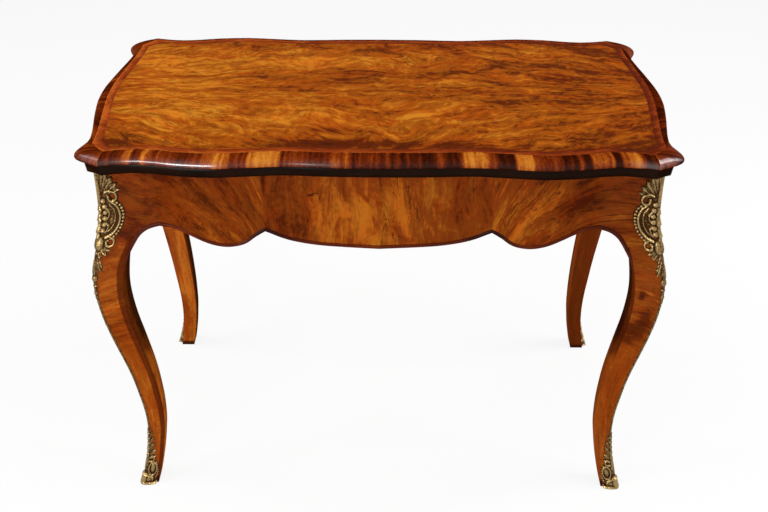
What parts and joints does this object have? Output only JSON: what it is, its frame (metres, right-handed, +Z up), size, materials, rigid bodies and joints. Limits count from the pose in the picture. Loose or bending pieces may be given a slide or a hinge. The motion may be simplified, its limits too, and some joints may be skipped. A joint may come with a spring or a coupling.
{
  "type": "fold-over card table",
  "caption": "Serpentine card table on cabriole legs with gilt mounts; the top turns on a pivot and its upper leaf folds over to open a baize playing surface.",
  "frame": {"origin": "on the floor, under the middle of the closed table", "axes": "+Z up, +X along the width to the right of a person facing the front, -Y towards the front; the leaves are hinged along the back, at +Y"},
  "size_m": [0.922, 0.4434, 0.73],
  "materials": {
    "apron_walnut": "polished walnut veneer",
    "leg_walnut": "polished walnut veneer",
    "secondary_wood": "plain unpolished softwood",
    "leaf_core": "plain solid wood, hidden by veneer, edging and baize",
    "green_baize": "napped wool baize",
    "bead_walnut": "polished red-brown bead",
    "gilt_brass": "antique gilt, cast and chased",
    "ebonised_wood": "polished black stain",
    "inner_border_walnut": "polished walnut crossbanding",
    "pivot_iron": "plain dark iron",
    "hinge_brass": "satin brass",
    "burr_walnut": "french-polished burr walnut",
    "band_walnut": "polished red-brown banding",
    "crossbanded_walnut": "polished crossbanding in gold, orange and dark brown",
    "ear_walnut": "polished red-brown solid walnut"
  },
  "bodies": {
    "frame": {"front_rail": "apron_walnut", "back_rail": "apron_walnut", "left_rail": "apron_walnut", "right_rail": "apron_walnut", "front_left_leg": "leg_walnut", "front_right_leg": "leg_walnut", "back_left_leg": "leg_walnut", "back_right_leg": "leg_walnut", "leg_brackets": "leg_walnut", "corner_blocks": "secondary_wood", "pivot_rail": "secondary_wood", "well_floor": "secondary_wood", "well_partition": "secondary_wood", "well_lining": "green_baize", "well_battens": "secondary_wood", "front_bead": "bead_walnut", "back_bead": "bead_walnut", "left_bead": "bead_walnut", "right_bead": "bead_walnut", "frame_slips": "green_baize", "front_left_knee_mount": "gilt_brass", "front_right_knee_mount": "gilt_brass", "back_left_knee_mount": "gilt_brass", "back_right_knee_mount": "gilt_brass", "front_left_sabot": "gilt_brass", "front_right_sabot": "gilt_brass", "back_left_sabot": "gilt_brass", "back_right_sabot": "gilt_brass", "edge_strips": "gilt_brass"},
    "turning_top": {"lower_leaf": "leaf_core", "lower_front_edge": "ebonised_wood", "lower_back_edge": "ebonised_wood", "lower_left_edge": "ebonised_wood", "lower_right_edge": "ebonised_wood", "lower_border": "inner_border_walnut", "lower_baize": "green_baize", "pivot_bolt": "pivot_iron", "pivot_washer": "pivot_iron", "pivot_nut": "pivot_iron", "pivot_plate": "pivot_iron", "stop_peg": "secondary_wood", "lower_hinge_plates": "hinge_brass", "hinge_pins": "hinge_brass", "lower_hinge_screws": "hinge_brass"},
    "upper_leaf": {"upper_leaf": "leaf_core", "top_veneer": "burr_walnut", "border_band": "band_walnut", "front_moulding": "crossbanded_walnut", "back_moulding": "crossbanded_walnut", "left_moulding": "crossbanded_walnut", "right_moulding": "crossbanded_walnut", "front_left_ear": "ear_walnut", "front_right_ear": "ear_walnut", "back_left_ear": "ear_walnut", "back_right_ear": "ear_walnut", "upper_border": "inner_border_walnut", "upper_baize": "green_baize", "upper_hinge_plates": "hinge_brass", "upper_hinge_screws": "hinge_brass"}
  },
  "joints": [
    {"name": "top_turn", "type": "hinge", "parent": "frame", "child": "turning_top", "pos_m": [0.11, 0.11, 0.6957], "axis": [0, 0, 1], "range_deg": [0, 90]},
    {"name": "leaf_fold", "type": "hinge", "parent": "turning_top", "child": "upper_leaf", "pos_m": [0, 0.22, 0.7135], "axis": [-1, 0, 0], "range_deg": [0, 180]}
  ]
}
